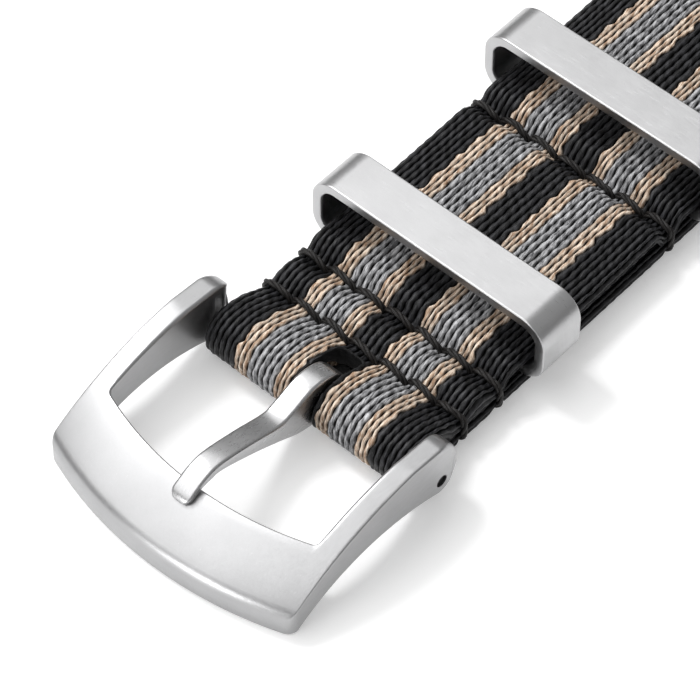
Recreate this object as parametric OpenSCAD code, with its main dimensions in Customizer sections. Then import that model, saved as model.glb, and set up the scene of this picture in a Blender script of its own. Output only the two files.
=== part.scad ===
// Striped nylon watch strap with a steel pin buckle and three steel keepers.
// It lies flat, buckle towards -X and the free tip towards +X, with its face up.
// Every piece is drawn with X = 0 at the spring bar and Z = 0 on the table,
// and the whole strap is then moved so that the middle of its length is at X = 0.

/* [Webbing] */
// Width of the webbing, which is the lug width of the watch that it fits
strap_w = 20; // [18:1:24]
// Thickness of one layer of webbing
web_t = 1.3; // [1.1:0.05:1.5]
// Spring bar to the tip of the long strap
strap_reach = 262; // [245:1:300]
// Length of the rounded tip
tip_len = 11; // [6:1:16]
// Diameter of an adjusting hole
hole_d = 2; // [1.6:0.1:2.6]
// Number of adjusting holes
hole_count = 9; // [5:1:11]
// Spacing of the adjusting holes
hole_pitch = 6.5; // [5.5:0.25:7]
// Line where the tail bends to the first adjusting hole
first_hole_in = 10; // [7:1:14]

/* [Sewn end] */
// Spring bar to the first row of stitches
first_row = 5; // [4.8:0.1:6]
// Spacing of two rows that are sewn as a pair
row_pair = 4.1; // [3.4:0.1:5]
// Spacing of the rows that close the pocket of a keeper
pocket_len = 20.5; // [19:0.5:26]
// Depth to which the needle thread pulls a row into the face
groove_d = 0.45; // [0.3:0.05:0.6]
// Half the width of the flat floor of a row's groove
groove_half_w = 0.45; // [0.4:0.05:0.6]
// Length over which the webbing climbs from a row to its full height
shoulder = 1.5; // [1.2:0.1:1.6]
// Bulge of the webbing between two rows of a pair
pillow_h = 0.45; // [0.2:0.05:0.7]
// Webbing left past the last row of a fold
seam_end = 2.6; // [2:0.2:3.4]
// Width of the slot that the tongue passes through
slot_w = 3; // [2.8:0.1:4]

/* [Thread] */
// Diameter of the sewing thread
thread_d = 0.5; // [0.35:0.05:0.55]
// Length of one stitch
stitch_len = 2.85; // [2:0.05:4]
// Sideways lean of one stitch, end to end
stitch_lean = 0.26; // [0.2:0.02:0.34]

/* [Spring bar] */
// Outer diameter of the barrel
bar_d = 1.8; // [1.6:0.1:2]
// Wall of the barrel
bar_wall = 0.3; // [0.25:0.05:0.35]
// Diameter of the plunger tips
plunger_d = 0.9; // [0.7:0.05:0.9]
// Length of the collar that keeps a plunger in the barrel
collar_len = 1.2; // [0.8:0.1:2]
// Diameter of the spring's wire
wire_d = 0.2; // [0.16:0.02:0.24]
// Number of turns of the spring
spring_turns = 14; // [10:1:18]

/* [Buckle frame] */
// Thickness of the two arms
arm_t = 1.8; // [1.4:0.1:2.4]
// Gap between the webbing's edge and an arm
arm_gap = 0.4; // [0.3:0.05:0.8]
// Spring bar to the inner edge of the front bar, at the middle
window_len = 13.7; // [13:0.1:16]
// Width of the front bar at the middle, seen from above
front_bar_w = 5.1; // [4.2:0.1:6]
// Radius of the bowed inner edge of the front bar
bow_r = 28.9; // [26:0.1:40]
// Height of the top of the frame at its crest
crest_h = 6.4; // [6.2:0.1:7]
// Distance of the crest from the inner edge of the front bar
crest_back = 8.2; // [7.5:0.1:9]
// Radius of the crowned top, seen from the side
crown_r = 22.6; // [20:0.2:26]
// Rounding where the top turns down into the front face
nose_r = 1.4; // [1:0.1:1.6]
// Height of the arch under the arms
arch_h = 2.35; // [1.6:0.05:2.6]
// Distance of the arch's top from the inner edge of the front bar
arch_back = 3.2; // [2.6:0.1:3.8]
// Radius of the arch
arch_r = 13.7; // [12:0.1:15]
// Rounding of the outer front corners, seen from above
corner_r = 1; // [0.6:0.1:1.8]
// Rounding of an ear below the spring bar
ear_low_r = 1.4; // [1.2:0.1:1.6]
// Rounding of an ear above the spring bar
ear_high_r = 2.3; // [2.1:0.05:2.35]
// Distance in front of the spring bar of that rounding's centre
ear_high_front = 0.45; // [0.3:0.05:0.6]
// Slope of the top of an arm down to its ear, in degrees
ear_fall = 3.5; // [2:0.5:5]
// Rounding of the end of an ear, seen from above
ear_end_r = 0.6; // [0.3:0.1:0.8]
// Diameter of the hole drilled through an ear
ear_hole_d = 1.1; // [1:0.05:1.2]

/* [Tongue] */
// Width of the tongue
tongue_w = 1.9; // [1.6:0.1:2.2]
// Outer diameter of the tongue's eye
tongue_eye_d = 4.4; // [3.6:0.1:4.5]
// Height of the tongue's shoulder above the bar, where it leaves the slot
tongue_shoulder = 2.95; // [2.8:0.05:3.2]
// Height above the bar of the dip behind the shoulder
tongue_dip = 2.05; // [1.8:0.05:2.4]
// Thickness of the tongue at its dip
tongue_root_t = 2; // [1.6:0.05:2.2]
// Thickness of the tongue over the front bar
tongue_tip_t = 0.95; // [0.8:0.05:1.2]
// Reach of the tongue past the inner edge of the front bar
tongue_over = 1.7; // [1.2:0.1:2.2]
// Rounding of the tongue's nose, seen from above
tongue_nose_r = 0.6; // [0.3:0.1:0.7]

/* [Keepers] */
// Width of a keeper's band, along the strap
keeper_w = 4.4; // [3.5:0.1:4.8]
// Thickness of a keeper's band
keeper_t = 1; // [0.8:0.05:1.1]
// Height of a keeper
keeper_h = 6.45; // [6:0.05:7.5]
// Gap between the webbing's edge and a keeper
keeper_gap = 0.7; // [0.6:0.05:1]
// Outer rounding of a keeper's corners
keeper_r = 2.3; // [1.8:0.1:2.4]
// Last row of stitches to the keeper behind it
keeper_back = 3; // [2.6:0.1:3.2]
// Spring bar to the keeper at the end of the under strap
end_keeper_x = 112.6; // [108:0.5:116]

/* [Bending] */
// Spring bar to the line where both straps bend round the wrist
wrist_bend_x = 66; // [65:0.5:72]
// Spring bar to the line where the free tail bends
tail_bend_x = 136; // [135.5:0.5:138]

/* [Hidden] */
// Clearance of a shaft in its bore, on the radius
run_gap = 0.05;
// Clearance between a keeper's band and the webbing below and above it
band_gap_low = 0.1;
band_gap_high = 0.2;
// Clearance between pieces that lie against each other
lay_gap = 0.05;
// Clearance of a thread in its groove
thread_gap = 0.02;
half_w = strap_w / 2;

// Spring bar
bar_r = bar_d / 2;
eye_r = bar_r + run_gap;
pin_z = eye_r + web_t;
bar_len = strap_w + 2 * arm_gap - 2 * lay_gap;
barrel_bore_r = bar_r - bar_wall;
lip_len = 0.3;
plunger_r = plunger_d / 2;
collar_r = barrel_bore_r - run_gap;
tip_recess = 0.2;
collar_out = bar_len / 2 - lip_len - lay_gap;
spring_half = collar_out - collar_len - lay_gap;

// Rows of stitches
row_1 = first_row;
row_2 = row_1 + row_pair;
row_3 = row_2 + pocket_len;
row_4 = row_3 + pocket_len;
row_5 = row_4 + row_pair;
row_6 = end_keeper_x - keeper_back;
row_7 = row_6 - row_pair;
under_groove_d = thread_d + 0.1;

// Heights of the stacked webbing
pocket_gap = keeper_t + band_gap_low + band_gap_high;
two_t = 2 * web_t;
pocket_top = two_t + pocket_gap;
three_t = 3 * web_t;
fold_top = pin_z + eye_r + web_t;
row_z = two_t - groove_d;
deep_row_z = three_t - groove_d;
end_loop_r = pocket_gap / 2 + web_t;

// Ends of the layers
fold_end = row_5 + seam_end;
under_start = row_4 - 1.6;
climb_end = under_start - 0.2;
climb_len = 3.6;
return_end = row_7 - seam_end;
settle_len = 4;
hump_z = pocket_top + lay_gap;
hump_climb = 9;
hump_start = return_end - hump_climb + 1.1;
hump_end = end_keeper_x + keeper_w + end_loop_r + 0.6;
slot_end = first_row - groove_half_w - 0.15;

// Bend lines: the moving end is round and the fixed end stays just clear of it
wrist_flat_x = wrist_bend_x - web_t - lay_gap;
tail_flat_x = tail_bend_x - web_t / 2 - lay_gap;
first_hole = tail_bend_x + first_hole_in;

// Buckle frame: the front bar follows circles about one centre
bow_centre_x = bow_r - window_len;
bow_out_r = bow_r + front_bar_w;
frame_half_in = half_w + arm_gap;
frame_half_out = frame_half_in + arm_t;
crest_r = bow_r - crest_back;
arch_pos_r = bow_r - arch_back;
ear_back = ear_high_r - ear_high_front;
ear_high_z = crest_h - ear_high_r - 0.25;
front_x = bow_centre_x - bow_out_r;

// Keepers
keeper_z = web_t + band_gap_low;
keeper_half = half_w + keeper_gap + keeper_t;
keeper_front_x = row_2 + keeper_back;
keeper_rear_x = row_3 + keeper_back;

// Steps of the drawn curves, in millimetres and in degrees round the fold
curve_step = 0.5;
fold_turn = 6;
arc_fn = 96;
small_fn = 32;

mid_x = (strap_reach + front_x) / 2;

// Colours of the webbing, the thread and the steel
web_black = [0.09, 0.09, 0.1];
web_grey = [0.55, 0.56, 0.57];
thread_black = [0.05, 0.05, 0.06];
steel = [0.78, 0.78, 0.79];
dark_steel = [0.6, 0.6, 0.62];

// A quarter wave that leaves a row steeply and levels out at full height
function climb(u) = sin(90 * min(1, max(0, u)));

// A full half wave, level at both ends
function ease(u) = (1 - cos(180 * min(1, max(0, u)))) / 2;

// Height of the face between two rows at a and b, with heights za and zb there and h between
function between_rows(x, a, b, za, zb, h) = min(
    za + (h - za) * climb((x - a - groove_half_w) / shoulder),
    zb + (h - zb) * climb((b - x - groove_half_w) / shoulder));

// Height of the face of the long strap over its sewn end
function face_z(x) =
    x <= row_1 ? row_z + (fold_top - row_z) * cos(90 * min(1, x / (row_1 - groove_half_w)))
    : x <= row_2 ? between_rows(x, row_1, row_2, row_z, row_z, two_t + pillow_h)
    : x <= row_3 ? between_rows(x, row_2, row_3, row_z, row_z, pocket_top)
    : x <= row_4 ? between_rows(x, row_3, row_4, row_z, deep_row_z, pocket_top)
    : x <= row_5 ? between_rows(x, row_4, row_5, deep_row_z, deep_row_z, three_t + pillow_h / 2)
    : x <= fold_end ? deep_row_z + groove_d * climb((x - row_5 - groove_half_w) / shoulder)
    : three_t - web_t * ease((x - fold_end) / settle_len);

// Height of the underside of the folded-back layer, which climbs over the start of the under strap
function back_z(x) = web_t * ease((x - climb_end + climb_len) / climb_len);

// Height of the underside of the long strap past the sewn end: over the end keeper's loop, then down
function lying_z(x) =
    x < hump_end ? web_t + (hump_z - web_t) * ease((x - hump_start) / hump_climb)
    : hump_z * (1 - ease((x - hump_end) / hump_climb));

// Places along X from a to b, no further apart than the curve step
function steps(a, b) = let (n = max(2, ceil((b - a) / curve_step))) [for (i = [0:n]) a + (b - a) * i / n];

function reversed(list) = [for (i = [len(list) - 1:-1:0]) list[i]];

// Points of a smooth curve that passes through every given point
function curve_through(p, n) = concat(
    [for (i = [0:len(p) - 2], k = [0:n - 1])
        let (a = p[max(0, i - 1)], b = p[i], c = p[i + 1], d = p[min(len(p) - 1, i + 2)], t = k / n)
        0.5 * (2 * b + (c - a) * t + (2 * a - 5 * b + 4 * c - d) * t * t + (3 * b - a - 3 * c + d) * t * t * t)],
    [p[len(p) - 1]]);

// Lays a side profile, drawn in X and Z, across the strap with its full width w
module across(w) {
    translate([0, w / 2, 0]) rotate([90, 0, 0]) linear_extrude(w) children();
}

// The hollow that a curved face leaves over the layer below it
module hollow(a, b) {
    xs = steps(a, b);
    polygon(concat(
        [for (x = xs) [x, back_z(x) + web_t]],
        [for (x = reversed(xs)) [x, face_z(x) - web_t]]));
}

// The groove that the bobbin thread lies in, cut across the underside
module under_groove(x) {
    polygon([
        [x - groove_half_w - 0.4, -1], [x - groove_half_w - 0.2, 0], [x - groove_half_w, under_groove_d],
        [x + groove_half_w, under_groove_d], [x + groove_half_w + 0.2, 0], [x + groove_half_w + 0.4, -1]]);
}

// How far past a groove's floor the face has climbed back to height h above the pressed layers
function opens_at(h) = groove_half_w + shoulder * asin(groove_d / (groove_d + h)) / 90;

// Side profile of the sewn end: round the bar, back under itself and up over the under strap
module buckle_end_profile() {
    face_xs = steps(0, fold_end);
    settle_xs = steps(fold_end, wrist_flat_x);
    back_xs = steps(climb_end - climb_len, climb_end);
    difference() {
        polygon(concat(
            [for (a = [0:fold_turn:180]) [-pin_z * sin(a), pin_z - pin_z * cos(a)]],
            [for (x = face_xs) [x, face_z(x)]],
            [for (x = settle_xs) [x, face_z(x)]],
            [for (x = reversed(settle_xs)) [x, face_z(x) - web_t]],
            [[fold_end, web_t]],
            [for (x = reversed(back_xs)) [x, back_z(x)]]));
        translate([0, pin_z]) circle(r = eye_r, $fn = arc_fn);
        hollow(0, (row_1 - groove_half_w) * acos(groove_d / (fold_top - row_z)) / 90);
        hollow(row_1 + opens_at(pillow_h), row_2 - opens_at(pillow_h));
        hollow(row_2 + opens_at(pocket_gap), row_3 - opens_at(pocket_gap));
        hollow(row_3 + opens_at(pocket_gap), climb_end - climb_len / 2);
        under_groove(row_1);
        under_groove(row_2);
        under_groove(row_3);
    }
}

// Slot for the tongue, with a round end
module tongue_slot() {
    translate([-pin_z - 1, -slot_w / 2, -1]) cube([slot_end - slot_w / 2 + pin_z + 1, slot_w, fold_top + 2]);
    translate([slot_end - slot_w / 2, 0, -1]) cylinder(h = fold_top + 2, d = slot_w, $fn = arc_fn);
}

module strap_buckle_end() {
    color(web_black) difference() {
        across(strap_w) buckle_end_profile();
        tongue_slot();
    }
}

// Long strap from the wrist bend, over the loop of the end keeper, to the tail bend
module strap_middle() {
    xs = steps(wrist_bend_x, tail_flat_x);
    color(web_black) across(strap_w) {
        polygon(concat(
            [for (x = xs) [x, lying_z(x)]],
            [for (x = reversed(xs)) [x, lying_z(x) + web_t]]));
        intersection() {
            translate([wrist_bend_x, web_t]) circle(r = web_t, $fn = arc_fn);
            translate([wrist_bend_x - 2 * web_t, web_t]) square([2 * web_t + 0.1, 2 * web_t]);
        }
    }
}

// Outline of the tail seen from above, with a blunt rounded tip
module tail_plan() {
    tip_steps = 24;
    straight = strap_reach - tip_len;
    polygon(concat(
        [[tail_bend_x - web_t, half_w], [tail_bend_x - web_t, -half_w]],
        [for (i = [0:tip_steps]) let (a = -90 + 180 * i / tip_steps)
            [straight + tip_len * cos(a), half_w * sign(a) * pow(abs(sin(a)), 0.8)]]));
}

module strap_tail() {
    color(web_black) difference() {
        intersection() {
            across(strap_w) {
                translate([tail_bend_x, 0]) square([strap_reach, web_t]);
                translate([tail_bend_x, web_t / 2]) circle(d = web_t, $fn = arc_fn);
            }
            translate([0, 0, -1]) linear_extrude(web_t + 2) tail_plan();
        }
        for (i = [0:hole_count - 1])
            translate([first_hole + i * hole_pitch, 0, -1]) cylinder(h = web_t + 2, d = hole_d, $fn = arc_fn);
    }
}

// Short strap under the long one, from the last pair of rows to the wrist bend
module under_strap_start() {
    color(web_black) across(strap_w) difference() {
        translate([under_start, 0]) square([wrist_flat_x - under_start, web_t]);
        under_groove(row_4);
        under_groove(row_5);
    }
}

// Height of the layer that the under strap folds back over the end keeper's band
function return_z(x) =
    x < row_7 ? row_z + groove_d * climb((row_7 - x - groove_half_w) / shoulder)
    : x < row_6 ? between_rows(x, row_7, row_6, row_z, row_z, two_t + pillow_h)
    : row_z + (pocket_top - row_z) * climb((x - row_6 - groove_half_w) / shoulder);

module under_strap_end() {
    loop_x = end_keeper_x + keeper_w;
    return_xs = steps(return_end, loop_x);
    pocket_xs = steps(row_6 + opens_at(pocket_gap), loop_x);
    color(web_black) across(strap_w) difference() {
        union() {
            polygon(concat(
                [[wrist_bend_x, 0], [loop_x, 0]],
                [for (x = reversed(return_xs)) [x, return_z(x)]],
                [[return_end, web_t], [wrist_bend_x, web_t]]));
            translate([loop_x, end_loop_r]) circle(r = end_loop_r, $fn = arc_fn);
            intersection() {
                translate([wrist_bend_x, web_t]) circle(r = web_t, $fn = arc_fn);
                translate([wrist_bend_x - 2 * web_t, -web_t]) square([2 * web_t + 0.1, 2 * web_t]);
            }
        }
        translate([loop_x, end_loop_r]) circle(r = pocket_gap / 2, $fn = small_fn);
        polygon(concat(
            [for (x = pocket_xs) [x, web_t]],
            [for (x = reversed(pocket_xs)) [x, return_z(x) - web_t]]));
        under_groove(row_6);
        under_groove(row_7);
    }
}

// One length of thread with round ends, from point p to point q
module strand(p, q) {
    d = q - p;
    flat = norm([d[0], d[1]]);
    translate(p) rotate([0, atan2(flat, d[2]), atan2(d[1], d[0])])
        rotate_extrude($fn = small_fn) intersection() {
            union() {
                circle(d = thread_d, $fn = small_fn);
                translate([0, norm(d)]) circle(d = thread_d, $fn = small_fn);
                translate([0, 0]) square([thread_d / 2, norm(d)]);
            }
            translate([0, -thread_d]) square([thread_d, norm(d) + 2 * thread_d]);
        }
}

// A row of stitches at x: leaning stitches at height z, with both ends turned round the edges to turn_z
module stitch_row(x, z, turn_z) {
    edge_y = half_w + thread_gap + thread_d / 2;
    count = round(2 * edge_y / stitch_len);
    pitch = 2 * edge_y / count;
    for (i = [0:count - 1])
        strand([x - stitch_lean / 2, -edge_y + i * pitch, z], [x + stitch_lean / 2, -edge_y + (i + 1) * pitch, z]);
    for (side = [-1, 1]) strand([x, side * edge_y, z], [x, side * edge_y, turn_z]);
}

// Needle thread in its groove on a face at height top_z, turned down to the middle of the stack
module needle_thread(x, top_z) {
    color(thread_black) stitch_row(x, top_z + thread_gap + thread_d / 2, top_z / 2 + thread_d);
}

// Bobbin thread in the groove under the stack, turned up to meet the needle thread
module bobbin_thread(x, top_z) {
    color(thread_black) stitch_row(x, under_groove_d - thread_gap - thread_d / 2, top_z / 2 - thread_gap);
}

// Rounded end of an ear, seen from above
module ear_end_plan() {
    flat = arm_t / 2 - ear_end_r;
    translate([0, -flat]) square([ear_back, 2 * flat]);
    for (side = [-1, 1])
        translate([ear_back - ear_end_r, side * flat]) circle(r = ear_end_r, $fn = small_fn);
}

// Plan of the frame: a bowed front bar, two straight arms with rounded ends and rounded outer corners
module frame_plan() {
    corner_y = frame_half_out - corner_r;
    corner_x = bow_centre_x - sqrt(pow(bow_out_r - corner_r, 2) - pow(corner_y, 2));
    reach = bow_out_r / (bow_out_r - corner_r);
    arc_x = bow_centre_x + (corner_x - bow_centre_x) * reach;
    difference() {
        intersection() {
            translate([bow_centre_x, 0]) circle(r = bow_out_r, $fn = 2 * arc_fn);
            union() {
                translate([front_x - 1, -frame_half_out])
                    square([ear_back - ear_end_r - front_x + 1, 2 * frame_half_out]);
                for (side = [-1, 1]) translate([0, side * (frame_half_in + arm_t / 2)]) ear_end_plan();
            }
        }
        intersection() {
            translate([bow_centre_x, 0]) circle(r = bow_r, $fn = 2 * arc_fn);
            translate([front_x, -frame_half_in]) square([2 * bow_r, 2 * frame_half_in]);
        }
        for (side = [-1, 1])
            polygon([
                [corner_x, side * corner_y], [corner_x, side * frame_half_out],
                [corner_x, side * (frame_half_out + 1)], [front_x, side * (frame_half_out + 1)],
                [arc_x, side * corner_y * reach]]);
    }
    for (side = [-1, 1]) translate([corner_x, side * corner_y]) circle(r = corner_r, $fn = small_fn);
}

// Section of the frame, swept round the centre of the bow: crowned top, arch below, rounded nose
module frame_section() {
    crown_z = crest_h - crown_r;
    nose_pos = bow_out_r - nose_r;
    nose_z = crown_z + sqrt(pow(crown_r - nose_r, 2) - pow(nose_pos - crest_r, 2));
    tangent_pos = crest_r + (nose_pos - crest_r) * crown_r / (crown_r - nose_r);
    inner_pos = bow_centre_x - ear_back - 1;
    difference() {
        union() {
            intersection() {
                translate([crest_r, crown_z]) circle(r = crown_r, $fn = 2 * arc_fn);
                translate([inner_pos, 0]) square([tangent_pos - inner_pos, crest_h + 1]);
            }
            translate([nose_pos, nose_z]) circle(r = nose_r, $fn = small_fn);
            translate([inner_pos, 0]) square([bow_out_r - inner_pos, nose_z]);
        }
        translate([arch_pos_r, arch_h - arch_r]) circle(r = arch_r, $fn = 2 * arc_fn);
        translate([inner_pos - 1, -crest_h]) square([bow_out_r, crest_h]);
    }
}

// Side outline of the frame: the arms fall a little to the ears, which are round behind the spring bar
module ear_outline() {
    rise = ear_high_z - pin_z;
    turn = acos((ear_low_r - ear_high_r) / norm([ear_high_front, rise])) - atan2(rise, -ear_high_front);
    top_x = ear_high_r * sin(ear_fall) - ear_high_front;
    top_z = ear_high_z + ear_high_r * cos(ear_fall);
    polygon([
        [front_x - 1, -1], [front_x - 1, top_z + (top_x - front_x + 1) * tan(ear_fall)], [top_x, top_z],
        [0, ear_high_z], [0, -1]]);
    translate([0, pin_z]) circle(r = ear_low_r, $fn = arc_fn);
    translate([-ear_high_front, ear_high_z]) circle(r = ear_high_r, $fn = arc_fn);
    polygon([
        [0, pin_z], [ear_low_r * cos(turn), pin_z - ear_low_r * sin(turn)],
        [ear_high_r * cos(turn) - ear_high_front, ear_high_z - ear_high_r * sin(turn)],
        [-ear_high_front, ear_high_z]]);
}

module buckle_frame() {
    color(steel) difference() {
        intersection() {
            linear_extrude(crest_h + 1) frame_plan();
            translate([bow_centre_x, 0, 0]) rotate_extrude($fn = 2 * arc_fn) frame_section();
            across(2 * frame_half_out + 2) ear_outline();
        }
        translate([0, frame_half_out + 1, pin_z]) rotate([90, 0, 0])
            cylinder(h = 2 * frame_half_out + 2, d = ear_hole_d, $fn = small_fn);
    }
}

// Height of the crowned top above the spring bar, at x on the centre line
function crown_above_bar(x) =
    crest_h - crown_r + sqrt(pow(crown_r, 2) - pow(bow_centre_x - x - crest_r, 2)) - pin_z;

// Side profile of the tongue round the bar, with the bar's axis at the origin
module tongue_profile() {
    eye_out = tongue_eye_d / 2;
    edge_x = -window_len;
    nose_x = edge_x - tongue_over;
    dip_x = -5.4;
    crest_x = edge_x + 2.1;
    rise_x = (dip_x + crest_x) / 2;
    crest_top = crown_above_bar(edge_x) + lay_gap + tongue_tip_t + 0.15;
    rise_top = tongue_dip + 0.56 * (crest_top - tongue_dip);
    top = [
        [eye_out * cos(45), eye_out * sin(45)], [1, tongue_shoulder - 0.7], [0, tongue_shoulder - 0.2],
        [-1.3, tongue_shoulder], [-2.6, tongue_shoulder - 0.25], [-4.2, tongue_dip + 0.1], [dip_x, tongue_dip],
        [rise_x, rise_top], [crest_x, crest_top], [edge_x + 0.5, crest_top - 0.15],
        [edge_x - 0.8, crest_top - 0.75], [nose_x, crown_above_bar(nose_x) + tongue_tip_t / 2]];
    under = [
        [nose_x + 0.25, crown_above_bar(nose_x + 0.25) + lay_gap],
        [edge_x - 0.6, crown_above_bar(edge_x - 0.6) + lay_gap],
        [edge_x, crown_above_bar(edge_x) + 2 * lay_gap], [edge_x + 0.9, crest_top - tongue_tip_t],
        [crest_x, crest_top - tongue_tip_t - 0.05], [rise_x, rise_top - (tongue_tip_t + tongue_root_t) / 2],
        [dip_x, tongue_dip - tongue_root_t], [-3.4, -0.5 * tongue_root_t], [-1.6, -0.75 * tongue_root_t],
        [0, -0.75 * tongue_root_t]];
    polygon(concat(curve_through(top, 4), curve_through(under, 4), [[eye_out / 2, 0]]));
    circle(r = eye_out, $fn = arc_fn);
}

// Tongue: an eye on the bar, a bent blade that thins towards its tip, and a nose hooked over the front bar
module buckle_tongue() {
    nose_x = -window_len - tongue_over;
    color(steel) difference() {
        intersection() {
            translate([0, 0, pin_z]) across(tongue_w) tongue_profile();
            linear_extrude(pin_z + crest_h) {
                translate([nose_x + tongue_nose_r, -tongue_w / 2]) square([tongue_eye_d - nose_x, tongue_w]);
                translate([nose_x, tongue_nose_r - tongue_w / 2])
                    square([tongue_eye_d, tongue_w - 2 * tongue_nose_r]);
                for (side = [-1, 1])
                    translate([nose_x + tongue_nose_r, side * (tongue_w / 2 - tongue_nose_r)])
                        circle(r = tongue_nose_r, $fn = small_fn);
            }
        }
        translate([0, tongue_w, pin_z]) rotate([90, 0, 0])
            cylinder(h = 2 * tongue_w, r = eye_r, $fn = arc_fn);
    }
}

// Lays a turned shape along Y, from y to y + h
module along_y(y, h, r) {
    translate([0, y, pin_z]) rotate([-90, 0, 0]) cylinder(h = h, r = r, $fn = small_fn);
}

// Barrel of the spring bar: a tube with a crimped lip at each end
module bar_barrel() {
    color(dark_steel) difference() {
        along_y(-bar_len / 2, bar_len, bar_r);
        along_y(-bar_len / 2 + lip_len, bar_len - 2 * lip_len, barrel_bore_r);
        along_y(-bar_len / 2 - 1, bar_len + 2, plunger_r + run_gap);
    }
}

// Plunger: a tip that reaches through the ear's hole, and a collar inside the barrel
module plunger() {
    along_y(collar_out - collar_len, collar_len, collar_r);
    along_y(collar_out - lay_gap, frame_half_out - tip_recess - collar_out + lay_gap, plunger_r);
}

module bar_plunger_left() {
    color(dark_steel) plunger();
}

module bar_plunger_right() {
    color(dark_steel) mirror([0, 1, 0]) plunger();
}

// Spring between the two collars: one unbroken helix of round wire
module bar_spring() {
    rings_per_turn = 8;
    sides = 6;
    coil_r = collar_r - wire_d / 2;
    rings = spring_turns * rings_per_turn;
    length = 2 * spring_half - wire_d;
    centre = [for (i = [0:rings]) [
        coil_r * cos(360 * i / rings_per_turn),
        -length / 2 + length * i / rings,
        pin_z + coil_r * sin(360 * i / rings_per_turn)]];
    points = [for (i = [0:rings], k = [0:sides - 1])
        let (a = 360 * i / rings_per_turn, b = 360 * k / sides, r = wire_d / 2)
        centre[i] + r * [cos(b) * cos(a), sin(b), cos(b) * sin(a)]];
    sidewalls = [for (i = [0:rings - 1], k = [0:sides - 1], t = [0, 1])
        let (n = (k + 1) % sides, a = i * sides + k, b = i * sides + n, c = a + sides, e = b + sides)
        t == 0 ? [a, c, b] : [b, c, e]];
    ends = [for (k = [1:sides - 2], t = [0, 1])
        t == 0 ? [0, k, k + 1] : [rings * sides, rings * sides + k + 1, rings * sides + k]];
    gaps = [for (i = [0:rings - rings_per_turn]) norm(centre[i + rings_per_turn] - centre[i]) - wire_d];
    echo(str("least gap between the turns of the spring: ", min(gaps), " mm"));
    color(dark_steel) polyhedron(points = points, faces = concat(sidewalls, ends));
}

// Rounded rectangle centred on Y = 0 that stands from z to z + h
module round_band(half, z, h, r) {
    translate([-half + r, z]) square([2 * (half - r), h]);
    translate([-half, z + r]) square([2 * half, h - 2 * r]);
    for (side = [-1, 1], up = [z + r, z + h - r]) translate([side * (half - r), up]) circle(r = r, $fn = arc_fn);
}

// Keeper: a flat steel band bent into a rounded oblong ring, its lower side inside the webbing
module keeper(x) {
    color(steel) translate([x, 0, 0]) rotate([90, 0, 90]) linear_extrude(keeper_w) difference() {
        round_band(keeper_half, keeper_z, keeper_h, keeper_r);
        round_band(keeper_half - keeper_t, keeper_z + keeper_t, keeper_h - 2 * keeper_t, keeper_r - keeper_t);
    }
}

// Moves a piece from the spring bar's frame to the frame of the whole strap
module placed() {
    translate([-mid_x, 0, 0]) children();
}

placed() strap_buckle_end();
placed() strap_middle();
placed() strap_tail();
placed() under_strap_start();
placed() under_strap_end();
placed() buckle_frame();
placed() buckle_tongue();
placed() bar_barrel();
placed() bar_plunger_left();
placed() bar_plunger_right();
placed() bar_spring();
placed() keeper(keeper_front_x);  // keeper_front
placed() keeper(keeper_rear_x);  // keeper_rear
placed() keeper(end_keeper_x);  // keeper_end
placed() needle_thread(row_1, row_z);  // needle_thread_1
placed() needle_thread(row_2, row_z);  // needle_thread_2
placed() needle_thread(row_3, row_z);  // needle_thread_3
placed() needle_thread(row_4, deep_row_z);  // needle_thread_4
placed() needle_thread(row_5, deep_row_z);  // needle_thread_5
placed() needle_thread(row_6, row_z);  // needle_thread_6
placed() needle_thread(row_7, row_z);  // needle_thread_7
placed() bobbin_thread(row_1, row_z);  // bobbin_thread_1
placed() bobbin_thread(row_2, row_z);  // bobbin_thread_2
placed() bobbin_thread(row_3, row_z);  // bobbin_thread_3
placed() bobbin_thread(row_4, deep_row_z);  // bobbin_thread_4
placed() bobbin_thread(row_5, deep_row_z);  // bobbin_thread_5
placed() bobbin_thread(row_6, row_z);  // bobbin_thread_6
placed() bobbin_thread(row_7, row_z);  // bobbin_thread_7
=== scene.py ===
# Looks of a striped nylon watch strap: ribbed webbing, twisted thread and satin steel.
# Lengths are in millimetres from the spring bar's axis, with Z = 0 on the table, until a mesh is made.
import math

import bmesh
import bpy
import numpy as np
from mathutils import Matrix, Vector

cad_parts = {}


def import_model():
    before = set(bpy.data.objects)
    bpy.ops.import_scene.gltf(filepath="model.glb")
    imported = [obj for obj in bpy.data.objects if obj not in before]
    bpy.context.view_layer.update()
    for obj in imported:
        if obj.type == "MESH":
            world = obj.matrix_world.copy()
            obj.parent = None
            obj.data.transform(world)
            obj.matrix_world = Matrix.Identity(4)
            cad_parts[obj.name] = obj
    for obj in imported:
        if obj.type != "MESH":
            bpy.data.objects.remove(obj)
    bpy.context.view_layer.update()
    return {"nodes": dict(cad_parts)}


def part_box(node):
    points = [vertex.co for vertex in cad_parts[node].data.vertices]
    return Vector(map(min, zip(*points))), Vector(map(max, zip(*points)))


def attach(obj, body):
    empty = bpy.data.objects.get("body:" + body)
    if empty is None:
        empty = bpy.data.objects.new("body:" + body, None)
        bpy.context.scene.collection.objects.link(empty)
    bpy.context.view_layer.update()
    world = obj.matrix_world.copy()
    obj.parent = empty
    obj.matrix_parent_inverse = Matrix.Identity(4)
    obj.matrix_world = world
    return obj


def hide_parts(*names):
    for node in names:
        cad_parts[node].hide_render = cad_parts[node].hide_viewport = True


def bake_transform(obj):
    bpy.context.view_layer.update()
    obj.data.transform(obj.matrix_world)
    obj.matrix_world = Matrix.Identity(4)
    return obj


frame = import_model()
MM = 0.001
rng = np.random.default_rng(7)


def span(node):
    """Lowest and highest corner of a CAD node, in millimetres from the spring bar."""
    lo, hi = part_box(node)
    return (np.array(lo) - ORIGIN) / MM, (np.array(hi) - ORIGIN) / MM


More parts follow.
